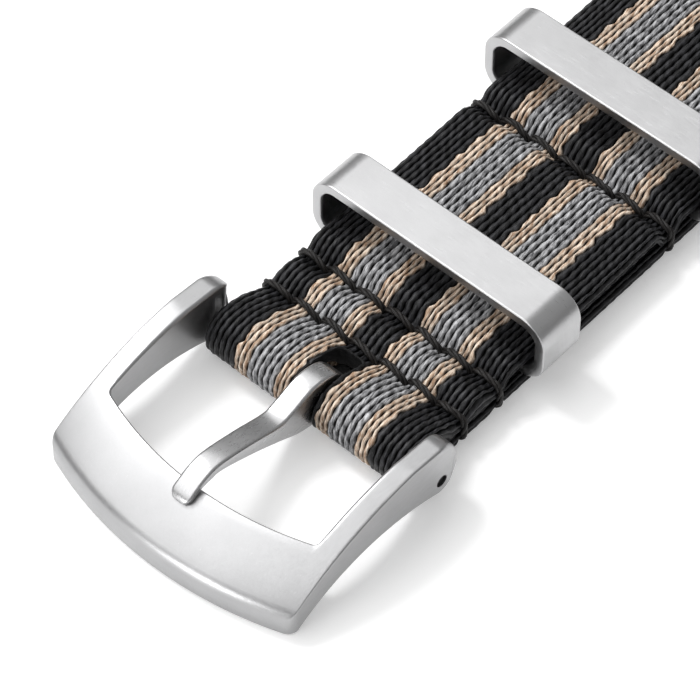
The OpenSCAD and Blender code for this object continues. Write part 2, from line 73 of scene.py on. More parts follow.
bar_lo, bar_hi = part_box("bar_barrel")
ORIGIN = np.array([(bar_lo.x + bar_hi.x) / 2, 0, 0])
PIN_Z = (bar_lo.z + bar_hi.z) / 2 / MM
TAIL = span("strap_tail")
HALF_W = TAIL[1][1]
WEB_T = TAIL[1][2]
TIP_X = TAIL[1][0]
EYE_R = PIN_Z - WEB_T

# Rows of stitches: middle of each row, and the height of the face that it lies on
THREAD_D = 0.5
THREAD_GAP = 0.02
ROWS = [float(sum(c[0] for c in span(f"needle_thread_{i}")) / 2) for i in range(1, 8)]
FACES = [float(span(f"needle_thread_{i}")[1][2]) - THREAD_D - THREAD_GAP for i in range(1, 8)]
# The webbing puffs up round the stitches of rows 1 to 3
PUFF = 0.75
ROW_Z = FACES[0] + PUFF
DEEP_Z = FACES[3]
GROOVE_HALF = 0.45
SHOULDER = 1.5
GROOVE_D = 2 * WEB_T - FACES[0]
PILLOW = 0.85
UNDER_GROOVE = 0.6
FOLD_TOP = PIN_Z + EYE_R + WEB_T
TWO_T = 2 * WEB_T
THREE_T = 3 * WEB_T
END_KEEPER = span("keeper_end")
KEEPER_T = 1.0
POCKET_TOP = TWO_T + KEEPER_T + 0.3
FOLD_END = ROWS[4] + 2.6
CLIMB_END = ROWS[3] - 1.8
CLIMB_LEN = 3.6
SETTLE = 4.0
RETURN_END = ROWS[6] - 2.6
LOOP_X = float(END_KEEPER[1][0])
LOOP_R = (POCKET_TOP - TWO_T) / 2 + WEB_T
HUMP_Z = POCKET_TOP + 0.05
HUMP_CLIMB = 9.0
HUMP_START = RETURN_END - HUMP_CLIMB + 1.1
HUMP_END = LOOP_X + LOOP_R + 0.6
WRIST_X = 66.0
SEAM_X = 114.8
TIP_LEN = 11.0
HOLES = [146 + 6.5 * i for i in range(9)]
HOLE_R = 1.0
STITCHES = 7
EDGE_Y = HALF_W + THREAD_GAP + THREAD_D / 2
STITCH = 2 * EDGE_Y / STITCHES
LEAN = 0.26

# Profiles of the layers, as in the CAD source
def climb(u):
    return np.sin(np.pi / 2 * np.clip(u, 0, 1))


def ease(u):
    return (1 - np.cos(np.pi * np.clip(u, 0, 1))) / 2


def between(x, a, b, za, zb, h):
    up = za + (h - za) * climb((x - a - GROOVE_HALF) / SHOULDER)
    down = zb + (h - zb) * climb((b - x - GROOVE_HALF) / SHOULDER)
    return np.minimum(up, down)


def face_z(x):
    r1, r2, r3, r4, r5 = ROWS[:5]
    first = ROW_Z + (FOLD_TOP - ROW_Z) * np.cos(np.pi / 2 * np.clip(x / (r1 - GROOVE_HALF), 0, 1))
    last = DEEP_Z + GROOVE_D * climb((x - r5 - GROOVE_HALF) / SHOULDER)
    flat = THREE_T - WEB_T * ease((x - FOLD_END) / SETTLE)
    return np.select(
        [x <= r1, x <= r2, x <= r3, x <= r4, x <= r5, x <= FOLD_END],
        [
            first,
            between(x, r1, r2, ROW_Z, ROW_Z, TWO_T + PILLOW),
            between(x, r2, r3, ROW_Z, ROW_Z, POCKET_TOP),
            between(x, r3, r4, ROW_Z, DEEP_Z, POCKET_TOP),
            between(x, r4, r5, DEEP_Z, DEEP_Z, THREE_T + 0.22),
            last,
        ],
        flat,
    )


def back_z(x):
    return WEB_T * ease((x - CLIMB_END + CLIMB_LEN) / CLIMB_LEN)


def lying_z(x):
    up = WEB_T + (HUMP_Z - WEB_T) * ease((x - HUMP_START) / HUMP_CLIMB)
    down = HUMP_Z * (1 - ease((x - HUMP_END) / HUMP_CLIMB))
    return np.where(x < HUMP_END, up, down)


def return_z(x):
    r6, r7 = ROWS[5], ROWS[6]
    low_row = FACES[5]
    low = low_row + GROOVE_D * climb((r7 - x - GROOVE_HALF) / SHOULDER)
    high = low_row + (POCKET_TOP - low_row) * climb((x - r6 - GROOVE_HALF) / SHOULDER)
    return np.select([x < r7, x < r6], [low, between(x, r7, r6, low_row, low_row, TWO_T + 0.45)], high)


def under_pull(x, rows):
    """How far the bobbin thread pulls the underside up at each row."""
    pull = np.zeros_like(x)
    for r in rows:
        pull = np.maximum(pull, UNDER_GROOVE * (1 - climb((np.abs(x - r) - GROOVE_HALF) / 0.35)))
    return pull


# Paths of the layers: outer side, direction of depth and thickness at each station
def piece_path(x, z, dx, dz, t):
    return np.stack([np.broadcast_to(np.asarray(v, float), x.shape) for v in (x, z, dx, dz, t)], 1)


def fine(a, b, step=0.05):
    return np.linspace(a, b, max(2, int(abs(b - a) / step)))


def top_thickness(x, z):
    """Thickness of the top layer, which fills the sewn end down to the layer below."""
    floor = np.where(x < FOLD_END, back_z(x) + WEB_T, -10)
    full = ease((x - ROWS[0] + 2.5) / 2) * (1 - ease((x - ROWS[1] + 0.2) / 1.2)) + np.exp(-((x - ROWS[2]) / 0.8) ** 2)
    return z - np.maximum(z - WEB_T - (PUFF + 0.6) * full, np.minimum(floor, z - 0.6))


def arc_path(cx, cz, r, a0, a1):
    a = np.radians(np.linspace(a0, a1, 90))
    return piece_path(cx + r * np.cos(a), cz + r * np.sin(a), -np.cos(a), -np.sin(a), WEB_T)


def resample(path, step_at):
    """Stations along a path, spaced as step_at says for their place along X."""
    gaps = np.hypot(np.diff(path[:, 0]), np.diff(path[:, 1]))
    keep = np.concatenate([[True], gaps > 1e-6])
    path = path[keep]
    s = np.concatenate([[0], np.cumsum(np.hypot(np.diff(path[:, 0]), np.diff(path[:, 1])))])
    count = np.concatenate([[0], np.cumsum(np.diff(s) / step_at((path[1:, 0] + path[:-1, 0]) / 2))])
    at = np.interp(np.linspace(0, count[-1], int(round(count[-1])) + 1), count, s)
    out = np.stack([np.interp(at, s, path[:, k]) for k in range(path.shape[1])], 1)
    out[:, 2:4] /= np.linalg.norm(out[:, 2:4], axis=1)[:, None]
    return out, at


def long_strap_path():
    under = fine(ROWS[0], 0)
    pull = under_pull(under, ROWS[:3])
    top = fine(0, WRIST_X)
    over = fine(WRIST_X, SEAM_X)
    z_over = lying_z(over) + WEB_T
    return np.concatenate([
        piece_path(under, pull, 0, 1, WEB_T - pull),
        arc_path(0, PIN_Z, PIN_Z, 270, 90),
        piece_path(top, face_z(top), 0, -1, top_thickness(top, face_z(top))),
        piece_path(over, z_over, 0, -1, WEB_T),
    ])


def fold_back_path():
    x = fine(ROWS[0], FOLD_END)
    pull = under_pull(x, ROWS[:3])
    return piece_path(x, back_z(x) + pull, 0, 1, WEB_T - pull)


def tail_path():
    x = fine(SEAM_X, TIP_X - TIP_LEN)
    a = np.radians(np.linspace(90, 3, 60))[1:]
    x = np.concatenate([x, TIP_X - TIP_LEN + TIP_LEN * np.cos(a)])
    return piece_path(x, lying_z(x) + WEB_T, 0, -1, WEB_T)


def under_strap_path():
    x = fine(ROWS[3] - 1.6, LOOP_X)
    pull = under_pull(x, ROWS[3:])
    back = fine(LOOP_X, RETURN_END)
    z = return_z(back)
    return np.concatenate([
        piece_path(x, pull, 0, 1, WEB_T - pull),
        arc_path(LOOP_X, LOOP_R, LOOP_R, -90, 90),
        piece_path(back, z, 0, -1, z - np.maximum(z - WEB_T, WEB_T)),
    ])

# Ribs of the webbing, as places round its section: black edges, tan and grey stripes and a black middle
EDGE_R = 0.6
FACE_Q = HALF_W - EDGE_R
EDGE_Q = 2.0
LOOP_Q = 4 * FACE_Q + 2 * EDGE_Q
BLACK, TAN, GREY = 0, 1, 2
STRIPES = [(1.49, BLACK, 2.5), (2.75, TAN, 3), (5.43, GREY, 5), (6.80, TAN, 3), (FACE_Q, BLACK, 5)]
RIB_PROFILE = np.array([0, 0.13, 0.3, 0.5, 0.7, 0.87, 1])
RIB_HEIGHT = np.array([-0.28, -0.08, 0.01, 0.04, 0.01, -0.08, -0.28])
TOOTH = 2.4
WEFT = 1.12
SLANT = 0.18


def rib_table():
    """Start, end and colour of each rib round the section, beginning in the middle of the face."""
    starts = []
    start = 0.0
    for end, colour, count in STRIPES:
        width = (end - start) / count
        first = width / 2 if start == 0 else start
        starts += [(first + width * k, colour) for k in range(math.ceil(count)) if first + width * k < end - 1e-6]
        start = end
    ends = [s[0] for s in starts[1:]] + [FACE_Q]
    right = [(a, b, c) for (a, c), b in zip(starts, ends)]
    edge = [(FACE_Q + EDGE_Q * k / 4, FACE_Q + EDGE_Q * (k + 1) / 4, BLACK) for k in range(4)]
    mid = right[0][0]
    under = [(LOOP_Q / 2 - b, LOOP_Q / 2 - a, c) for a, b, c in reversed(right)]
    side = right + edge + under
    other = [(LOOP_Q - b, LOOP_Q - a, c) for a, b, c in reversed(side)]
    return [(-mid, mid, BLACK)] + side + [(LOOP_Q / 2 - mid, LOOP_Q / 2 + mid, BLACK)] + other


RIBS = rib_table()


def section(q, t, half_w):
    """Place and outward normal on the webbing's section: across, and down into it."""
    signed = (q + LOOP_Q / 2) % LOOP_Q - LOOP_Q / 2
    side = np.where(signed < 0, -1.0, 1.0)
    a = np.abs(signed)
    turn = np.clip((a - FACE_Q) / EDGE_Q, 0, 1) * np.pi
    r = np.minimum(EDGE_R, 0.45 * half_w)
    inner = half_w - r
    flat = np.where(a <= FACE_Q, a, 2 * FACE_Q + EDGE_Q - a)
    y = np.minimum(flat, inner)
    y = np.where((turn > 0) & (turn < np.pi), inner + r * np.sin(turn), y)
    d = t / 2 * (1 - np.cos(turn))
    ny, nd = np.sin(turn) / r, -np.cos(turn) / (t / 2)
    size = np.hypot(ny, nd)
    return side * y, d, side * ny / size, nd / size


def tooth(u):
    """A long rise and a short fall, for yarn that comes out from under the next stripe."""
    u = u % 1.0
    return np.where(u < 0.8, u / 0.8, (1 - u) / 0.2)


class Boundaries:
    """The lines between the ribs, which sway with the weft, and how far the gap opens along them."""

    def __init__(self, s):
        self.s = s
        count = len(RIBS)
        self.weft = 2 * np.pi * s / WEFT + 0.5 * np.sin(2 * np.pi * s / 6.1) + 0.35 * np.sin(2 * np.pi * s / 2.3)
        self.phase = np.pi * (np.arange(count) % 2) + rng.normal(0, 0.45, count)
        self.wander = 2 * np.pi * rng.random((2, count))
        self.size = 0.03 + 0.02 * rng.random(count)

    def turn(self, k):
        return self.weft + self.phase[k] + 0.7 * np.sin(2 * np.pi * self.s / 4.7 + self.wander[0, k])

    def at(self, i):
        k = i % len(RIBS)
        base = RIBS[k][0] + (LOOP_Q if i == len(RIBS) else 0)
        before, after = RIBS[k - 1][2], RIBS[k][2]
        turn = self.turn(k)
        line = base + self.size[k] * np.sin(turn) + 0.02 * np.sin(2 * np.pi * self.s / 3.1 + self.wander[1, k])
        gap = np.clip(0.42 + 0.62 * np.cos(turn), 0, 1)
        if before != after and {before, after} == {TAN, BLACK}:
            out = 1 if before == TAN else -1
            line = line + out * 0.34 * (tooth(self.s / TOOTH + self.wander[0, k]) - 0.55)
        elif before != after:
            line = line + 0.08 * (tooth(self.s / TOOTH + self.wander[0, k]) - 0.5)
        return line, gap


TRENCH = 0.12


def pits(x, y, rows):
    """Depth that the stitches pull the face down by, most at their needle holes."""
    depth = np.zeros(np.broadcast(x, y).shape)
    for r in rows:
        depth += TRENCH * np.exp(-((x - r) / 0.6) ** 2)
        for k in range(1, STITCHES):
            hole = -EDGE_Y + k * STITCH
            near = np.exp(-(((x - r) / 0.45) ** 2 + ((y - hole) / 0.42) ** 2))
            wide = np.exp(-(((x - r) / 1.5) ** 2 + ((y - hole) / 0.75) ** 2))
            depth += 0.2 * near + 0.16 * wide
    return depth


def droop(x, y):
    """How far the edges of the face hang over a pocket, beside a keeper."""
    first = DROOP[0] * np.clip(np.sin(np.pi * np.clip((x - ROWS[1]) / (ROWS[2] - ROWS[1]), 0, 1)), 0, 1)
    second = DROOP[1] * np.clip(np.sin(np.pi * np.clip((x - ROWS[2]) / (ROWS[3] - ROWS[2]), 0, 1)), 0, 1)
    return (first + second) * np.clip((np.abs(y) - 5) / 5, 0, 1.1) ** 2


def make_mesh(name, co, faces, materials, index=None, attributes=None, uv=None):
    """A smooth mesh object from points in millimetres from the spring bar."""
    mesh = bpy.data.meshes.new(name)
    mesh.from_pydata((np.asarray(co) * MM + ORIGIN).tolist(), [], [list(map(int, f)) for f in faces])
    for m in materials:
        mesh.materials.append(m)
    if index is not None:
        mesh.polygons.foreach_set("material_index", np.asarray(index, np.int32))
    mesh.polygons.foreach_set("use_smooth", np.ones(len(mesh.polygons), bool))
    for key, (kind, values) in (attributes or {}).items():
        attribute = mesh.attributes.new(key, kind, "POINT")
        field = "vector" if kind == "FLOAT_VECTOR" else "value"
        attribute.data.foreach_set(field, np.asarray(values, np.float32).ravel())
    if uv is not None:
        layer = mesh.uv_layers.new(name="OFBake")
        loops = np.zeros(len(mesh.loops), np.int32)
        mesh.loops.foreach_get("vertex_index", loops)
        layer.data.foreach_set("uv", np.asarray(uv, np.float32)[loops].ravel())
    mesh.update()
    obj = bpy.data.objects.new(name, mesh)
    bpy.context.scene.collection.objects.link(obj)
    return obj


SLOT_SPARE = 0.12


def webbing(name, path, step_at, under_segments=1, pit_rows=(), slot=None, holes=(), hang=False):
    """A length of webbing whose ribs follow a path of stations. Hidden ribs get under_segments faces across."""
    stations, s = resample(path, step_at)
    n = len(s)
    x, z, dx, dz, t = (stations[:, k][:, None] for k in range(5))
    tangent = np.stack([np.gradient(stations[:, 0]), np.gradient(stations[:, 1])], 1)
    tangent /= np.linalg.norm(tangent, axis=1)[:, None]
    normal = np.stack([-tangent[:, 1], tangent[:, 0]], 1)
    normal *= np.sign(np.sum(normal * stations[:, 2:4], 1))[:, None]
    past = np.clip((stations[:, 0] - TIP_X + TIP_LEN) / TIP_LEN, 0, 1)
    half_w = (HALF_W * np.sin(np.arccos(past)) ** 0.8)[:, None] if past.max() > 0 else np.full((n, 1), HALF_W)
    s = s[:, None]
    boundaries = Boundaries(s)

    points, faces, index, crease_shade, fibre, uvs = [], [], [], [], [], []
    base = 0
    for i, (a, b, colour) in enumerate(RIBS):
        left, gap_left = boundaries.at(i)
        right, gap_right = boundaries.at(i + 1)
        middle = (a + b) / 2
        place = min(middle % LOOP_Q, LOOP_Q - middle % LOOP_Q)
        full = place < FACE_Q
        cols = RIB_PROFILE if full else np.linspace(0, 1, 4 if place < FACE_Q + EDGE_Q else under_segments + 1)
        j = cols[None, :]
        q = left + (right - left) * j
        y, d, ny, nd = section(q, t, half_w)
        height = np.interp(j, RIB_PROFILE, RIB_HEIGHT) if len(cols) > 2 else 0 * j
        side = np.abs(2 * j - 1) ** 2
        gap = gap_left * (1 - j) + gap_right * j
        swell = 0.025 * np.sin(boundaries.turn(i) + np.pi / 2) * (1 - side)
        lift = height * (0.7 + 0.6 * gap * side) + swell * (len(cols) > 2)
        if len(pit_rows):
            drop = pits(x, y, pit_rows) * np.clip(1 - d / 0.5, 0, 1)
        else:
            drop = 0 * y
        hanging = droop(x, y) * (z > TWO_T - 0.5) if hang else 0 * y
        px = x + dx * d + nd * lift * normal[:, :1] + dx * drop
        pz = z + dz * d + nd * lift * normal[:, 1:] + dz * drop - hanging
        py = y + ny * lift
        points.append(np.stack([px, py, pz], 2).reshape(-1, 3))
        # Painted shade: how dark the yarn is painted towards the gaps between the ribs, darkest where a gap opens
        dark = np.broadcast_to(side * (0.42 + 0.58 * gap), q.shape)
        crease_shade.append(dark.ravel() if len(cols) > 2 else np.zeros(q.size))
        fibre.append(np.stack([s + 0 * q, q - SLANT * s, 0 * q + i * 3.7], 2).reshape(-1, 3))
        uvs.append(np.stack([s / s.max() + 0 * q, (q + 0.5) / (LOOP_Q + 1)], 2).reshape(-1, 2))
        m = len(cols) - 1
        rows_i, col_i = np.meshgrid(np.arange(n - 1), np.arange(m), indexing="ij")
        p = base + rows_i * (m + 1) + col_i
        faces.append(np.stack([p, p + 1, p + m + 2, p + m + 1], 2).reshape(-1, 4))
        index.append(np.full((n - 1) * m, colour))
        base += n * (m + 1)
    points = np.concatenate(points)
    faces = np.concatenate(faces)
    index = np.concatenate(index)
    if slot:
        end, half = slot
        corners = points[faces]
        away = (np.maximum(corners[..., 0] - end + half, 0) ** 4 + corners[..., 1] ** 4) ** 0.25
        gone = (away.mean(1) < half) | (away.min(1) < half - SLOT_SPARE)
        faces, index = faces[~gone], index[~gone]
    for hole in holes:
        flat = points[:, :2] - [hole, 0]
        away = np.hypot(flat[:, 0], flat[:, 1])
        reach = 1.9
        near = away < reach
        spread = HOLE_R + away * (reach - HOLE_R) / reach
        points[near, :2] = [hole, 0] + flat[near] * (spread / np.maximum(away, 1e-6))[near, None]
        gone = np.hypot(*(flat[faces].mean(1)).T) < 0.3
        faces, index = faces[~gone], index[~gone]
    obj = make_mesh(name, points, faces[:, ::-1], YARNS, index,
                    {"fibre": ("FLOAT_VECTOR", np.concatenate(fibre)), "crease_shade": ("FLOAT", np.concatenate(crease_shade))},
                    np.concatenate(uvs))
    return obj


# Materials
def node_tree(name):
    material = bpy.data.materials.new(name)
    material.use_nodes = True
    tree = material.node_tree
    return material, tree, tree.nodes["Principled BSDF"]


def add(tree, kind, **values):
    """A node whose settings, or inputs with their spaces written as underscores, have the given values."""
    node = tree.nodes.new(kind)
    for key, value in values.items():
        if hasattr(node, key):
            setattr(node, key, value)
        else:
            node.inputs[key.replace("_", " ")].default_value = value
    return node


def ramp(tree, source, low, high, out_low, out_high):
    """Maps a value from low..high to out_low..out_high, clamped."""
    node = add(tree, "ShaderNodeMapRange", From_Min=low, From_Max=high, To_Min=out_low, To_Max=out_high)
    tree.links.new(source, node.inputs["Value"])
    return node.outputs["Result"]


def noise(tree, vector, scale, detail=4.0, rough=0.6):
    """Noise over a vector that is stretched by scale."""
    along = add(tree, "ShaderNodeMapping")
    along.inputs["Scale"].default_value = scale
    tree.links.new(vector, along.inputs["Vector"])
    node = add(tree, "ShaderNodeTexNoise", Scale=1.0, Detail=detail, Roughness=rough)
    tree.links.new(along.outputs["Vector"], node.inputs["Vector"])
    return node.outputs["Fac"]


def blend_colour(tree, factor, low, high, kind="MIX"):
    """Mixes two colours, or sockets, by a factor."""
    node = add(tree, "ShaderNodeMix", data_type="RGBA", blend_type=kind)
    for socket, value in ((0, factor), (6, low), (7, high)):
        if isinstance(value, (int, float, tuple)):
            node.inputs[socket].default_value = value if socket == 0 else (*value, 1)
        else:
            tree.links.new(value, node.inputs[socket])
    return node.outputs[2]


def yarn(name, light, middle, dark, roughness, sheen):
    """Nylon yarn: filaments along it, mottled tone, painted shade in the creases between the ribs and a soft sheen."""
    material, tree, shader = node_tree(name)
    link = tree.links.new
    place = add(tree, "ShaderNodeAttribute", attribute_name="fibre").outputs["Vector"]
    filaments = noise(tree, place, (1.2, 6.0, 1.0), 4.0, 0.7)
    mottle = noise(tree, place, (1.7, 2.4, 1.0), 2.0, 0.5)
    tone = blend_colour(tree, ramp(tree, filaments, 0.41, 0.59, 0.0, 1.0), dark, light)
    tone = blend_colour(tree, ramp(tree, mottle, 0.3, 0.7, 0.0, 0.45), tone, middle)
    # Painted shade: the colour falls to near black in the creases between ribs, multiplied by a random mottle of tone
    crease_shade = add(tree, "ShaderNodeAttribute", attribute_name="crease_shade").outputs["Fac"]
    crease_shade_times_mottle = add(tree, "ShaderNodeMath", operation="MULTIPLY")
    link(ramp(tree, crease_shade, 0.08, 0.6, 1.0, 0.02), crease_shade_times_mottle.inputs[0])
    link(ramp(tree, noise(tree, place, (0.9, 1.1, 1.0), 2.0, 0.5), 0.35, 0.65, 0.7, 1.1), crease_shade_times_mottle.inputs[1])
    link(blend_colour(tree, 1.0, tone, crease_shade_times_mottle.outputs[0], "MULTIPLY"), shader.inputs["Base Color"])
    bump = add(tree, "ShaderNodeBump", Strength=0.8, Distance=0.00006)
    link(filaments, bump.inputs["Height"])
    link(bump.outputs["Normal"], shader.inputs["Normal"])
    shader.inputs["Roughness"].default_value = roughness
    shader.inputs["Specular IOR Level"].default_value = 0.28
    shader.inputs["Sheen Weight"].default_value = sheen
    shader.inputs["Sheen Roughness"].default_value = 0.4
    return material


def steel(name, colour, roughness, stretch, strength=0.06):
    """Satin steel, with fine brush marks that are long where stretch is small."""
    material, tree, shader = node_tree(name)
    link = tree.links.new
    place = add(tree, "ShaderNodeTexCoord").outputs["Object"]
    marks = noise(tree, place, stretch, 6.0, 0.7)
    blotch = noise(tree, place, (250, 250, 250), 2.0, 0.5)
    link(ramp(tree, marks, 0.3, 0.7, roughness * 0.75, roughness * 1.25), shader.inputs["Roughness"])
    tone = tuple(c * 0.93 for c in colour)
    link(blend_colour(tree, ramp(tree, blotch, 0.3, 0.7, 0.0, 1.0), tone, colour), shader.inputs["Base Color"])
    bump = add(tree, "ShaderNodeBump", Strength=strength, Distance=0.00002)
    link(marks, bump.inputs["Height"])
    link(bump.outputs["Normal"], shader.inputs["Normal"])
    shader.inputs["Metallic"].default_value = 1.0
    return material


def thread_material():
    """Waxed black polyester thread with fine filaments."""
    material, tree, shader = node_tree("twisted_thread")
    link = tree.links.new
    place = add(tree, "ShaderNodeAttribute", attribute_name="fibre").outputs["Vector"]
    filaments = noise(tree, place, (2.0, 7.0, 3.0), 4.0, 0.7)
    tone = ramp(tree, filaments, 0.35, 0.7, 0.0, 1.0)
    link(blend_colour(tree, tone, (0.003, 0.0027, 0.0027), (0.03, 0.027, 0.026)), shader.inputs["Base Color"])
    bump = add(tree, "ShaderNodeBump", Strength=0.7, Distance=0.00004)
    link(filaments, bump.inputs["Height"])
    link(bump.outputs["Normal"], shader.inputs["Normal"])
    shader.inputs["Roughness"].default_value = 0.42
    shader.inputs["Specular IOR Level"].default_value = 0.28
    return material


FUSED = yarn("fused_yarn", (0.016, 0.016, 0.017), (0.007, 0.007, 0.008), (0.0015, 0.0015, 0.0015), 0.75, 0.0)
YARNS = [
    yarn("black_yarn", (0.05, 0.05, 0.055), (0.009, 0.009, 0.01), (0.0015, 0.0015, 0.0015), 0.42, 0.0),
    yarn("tan_yarn", (0.97, 0.85, 0.72), (0.72, 0.53, 0.38), (0.32, 0.18, 0.10), 0.6, 0.15),
    yarn("grey_yarn", (0.66, 0.66, 0.675), (0.30, 0.30, 0.31), (0.08, 0.08, 0.085), 0.6, 0.1),
]
BUCKLE_STEEL = steel("satin_buckle_steel", (0.43, 0.43, 0.435), 0.36, (1100, 8000, 8000), 0.3)
TONGUE_STEEL = steel("satin_tongue_steel", (0.5, 0.5, 0.505), 0.3, (800, 5000, 5000), 0.03)
KEEPER_STEEL = steel("satin_keeper_steel", (0.5, 0.5, 0.505), 0.34, (9000, 800, 800), 0.2)
PIN_STEEL = steel("turned_steel", (0.4, 0.4, 0.405), 0.4, (20000, 20000, 20000), 0.05)
# Painted shade: the plunger tips are steel painted near black, so that the ear holes look dark
SHADED_TIP_STEEL = steel("tip_steel_painted_shade", (0.02, 0.02, 0.02), 0.5, (20000, 20000, 20000), 0.05)
SPRING_STEEL = steel("spring_steel", (0.42, 0.42, 0.43), 0.35, (20000, 20000, 20000), 0.05)
THREAD = thread_material()


# Thread
def cross_frame(line):
    """Two directions across a line at each of its points."""
    t = np.gradient(line, axis=0)
    t /= np.linalg.norm(t, axis=1)[:, None]
    u = np.cross(t, [1.0, 0, 0])
    u /= np.linalg.norm(u, axis=1)[:, None]
    return u, np.cross(t, u)


def tube(points, radius, sides=8, seed=0.0):
    """Points and faces of a tube that follows the points."""
    u, v = cross_frame(points)
    a = np.linspace(0, 2 * np.pi, sides, endpoint=False)
    ring = u[:, None] * np.cos(a)[None, :, None] + v[:, None] * np.sin(a)[None, :, None]
    co = (points[:, None] + radius * ring).reshape(-1, 3)
    n = len(points)
    i, k = np.meshgrid(np.arange(n - 1), np.arange(sides), indexing="ij")
    p, q = i * sides + k, i * sides + (k + 1) % sides
    faces = np.stack([p, q, q + sides, p + sides], 2).reshape(-1, 4).tolist()
    faces += [list(range(sides))[::-1], list(range((n - 1) * sides, n * sides))]
    s = np.concatenate([[0], np.cumsum(np.linalg.norm(np.diff(points, axis=0), axis=1))])
    fibre = np.stack(np.broadcast_arrays(s[:, None], a[None, :], seed), 2).reshape(-1, 3)
    return co, faces, fibre


def smooth_line(corners, step=0.08):
    """A smooth line through the points, evenly spaced, and the distance along it."""
    p = np.asarray(corners, float)
    ghost = np.concatenate([[2 * p[0] - p[1]], p, [2 * p[-1] - p[-2]]])
    out = []
    for i in range(1, len(ghost) - 2):
        a, b, c, d = ghost[i - 1:i + 3]
        t = np.linspace(0, 1, 12, endpoint=False)[:, None]
        out.append(0.5 * (2 * b + (c - a) * t + (2 * a - 5 * b + 4 * c - d) * t ** 2 + (3 * b - a - 3 * c + d) * t ** 3))
    line = np.concatenate(out + [p[-1:]])
    s = np.concatenate([[0], np.cumsum(np.linalg.norm(np.diff(line, axis=0), axis=1))])
    at = np.linspace(0, s[-1], int(s[-1] / step) + 2)
    return np.stack([np.interp(at, s, line[:, k]) for k in range(line.shape[1])], 1), at


PLIES = 3
PLY_R = 0.15
PLY_OUT = 0.14
TWIST = 3.0
THREAD_R = PLY_R + PLY_OUT


def twisted(line, at, phase):
    """Plies wound loosely round a line."""
    u, v = cross_frame(line)
    made = []
    for k in range(PLIES):
        a = 2 * np.pi * (at / TWIST + k / PLIES) + phase
        ply = line + PLY_OUT * (u * np.cos(a)[:, None] + v * np.sin(a)[:, None])
        made.append(tube(ply, PLY_R, 7, k * 5.0 + phase))
    return made


def edge_turn(x, sign, z, up, turn_z):
    """Points of the thread from the edge of a face round to its end against the webbing's side."""
    reach = EDGE_R + THREAD_R - 0.2
    centre_y, centre_z = HALF_W - EDGE_R, z - up * reach
    line = []
    for a in np.radians([88, 60, 32, 5]):
        line.append([x, sign * (centre_y + reach * math.cos(a)), centre_z + up * reach * math.sin(a)])
    return line + [[x, sign * (centre_y + reach), (centre_z + turn_z) / 2], [x, sign * (centre_y + reach), turn_z]]


def stitch_row(name, x, z, turn_z, body, up):
    """Stitches along Y at height z, each diving into its needle holes, with both ends turned round the edge."""
    parts = []
    dive = -0.9 * up
    for k in range(STITCHES):
        y0, y1 = -EDGE_Y + k * STITCH, -EDGE_Y + (k + 1) * STITCH
        jitter = rng.normal(0, 0.055, 4)
        x0, x1 = x - LEAN / 2 + jitter[0], x + LEAN / 2 + jitter[1]
        high = z + up * (0.08 + abs(jitter[2]))
        first = [[x0, y0 - 0.02, z + dive], [x0, y0 + 0.16, z + dive * 0.45], [x0, y0 + 0.6, z]]
        last = [[x1, y1 - 0.6, z], [x1, y1 - 0.16, z + dive * 0.45], [x1, y1 + 0.02, z + dive]]
        if k == 0:
            first = edge_turn(x, -1, z, up, turn_z)[::-1]
        if k == STITCHES - 1:
            last = edge_turn(x, 1, z, up, turn_z)
        middle = [[(x0 + x1) / 2 + jitter[3] * 0.5, (y0 + y1) / 2, high]]
        line, at = smooth_line(first + middle + last)
        parts += twisted(line, at, rng.random() * 6.28)
    shift = np.cumsum([0] + [len(p[0]) for p in parts[:-1]])
    faces = [[v + o for v in f] for p, o in zip(parts, shift) for f in p[1]]
    fibre = np.concatenate([p[2] for p in parts])
    obj = make_mesh(name + "_stitches", np.concatenate([p[0] for p in parts]), faces, [THREAD], None,
                    {"fibre": ("FLOAT_VECTOR", fibre)})
    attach(obj, body)
    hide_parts(name)


def thread_rows():
    for i, (x, top) in enumerate(zip(ROWS, FACES), 1):
        body = "strap" if i <= 5 else "middle"
        puff = PUFF if i <= 3 else 0
        stitch_row(f"needle_thread_{i}", x, top + puff - TRENCH + 0.7 * THREAD_R, top / 2, body, 1)
        stitch_row(f"bobbin_thread_{i}", x, UNDER_GROOVE - THREAD_GAP - THREAD_R * 0.4, top / 2, body, -1)


# Steel pieces and finished edges, each a skin through rings of points
def loft(name, rings, materials, closed=False, cap=True, attributes=None):
    """A skin through rings of points that are listed in the same order."""
    rings = np.asarray(rings, float)
    n, m = rings.shape[:2]
    i, k = np.meshgrid(np.arange(n if closed else n - 1), np.arange(m), indexing="ij")
    after = (i + 1) % n
    p, q = i * m + k, i * m + (k + 1) % m
    faces = np.stack([p, q, after * m + (k + 1) % m, after * m + k], 2).reshape(-1, 4).tolist()
    if cap and not closed:
        faces += [list(range(m))[::-1], list(range((n - 1) * m, n * m))]
    obj = make_mesh(name, rings.reshape(-1, 3), faces, materials, None, attributes)
    work = bmesh.new()
    work.from_mesh(obj.data)
    bmesh.ops.remove_doubles(work, verts=work.verts, dist=1e-7)
    bmesh.ops.recalc_face_normals(work, faces=work.faces)
    work.to_mesh(obj.data)
    work.free()
    return obj


def even_normals(obj):
    """Keeps flat faces flat in the shading beside their rounded edges."""
    obj.modifiers.new("even_normals", "WEIGHTED_NORMAL").keep_sharp = True


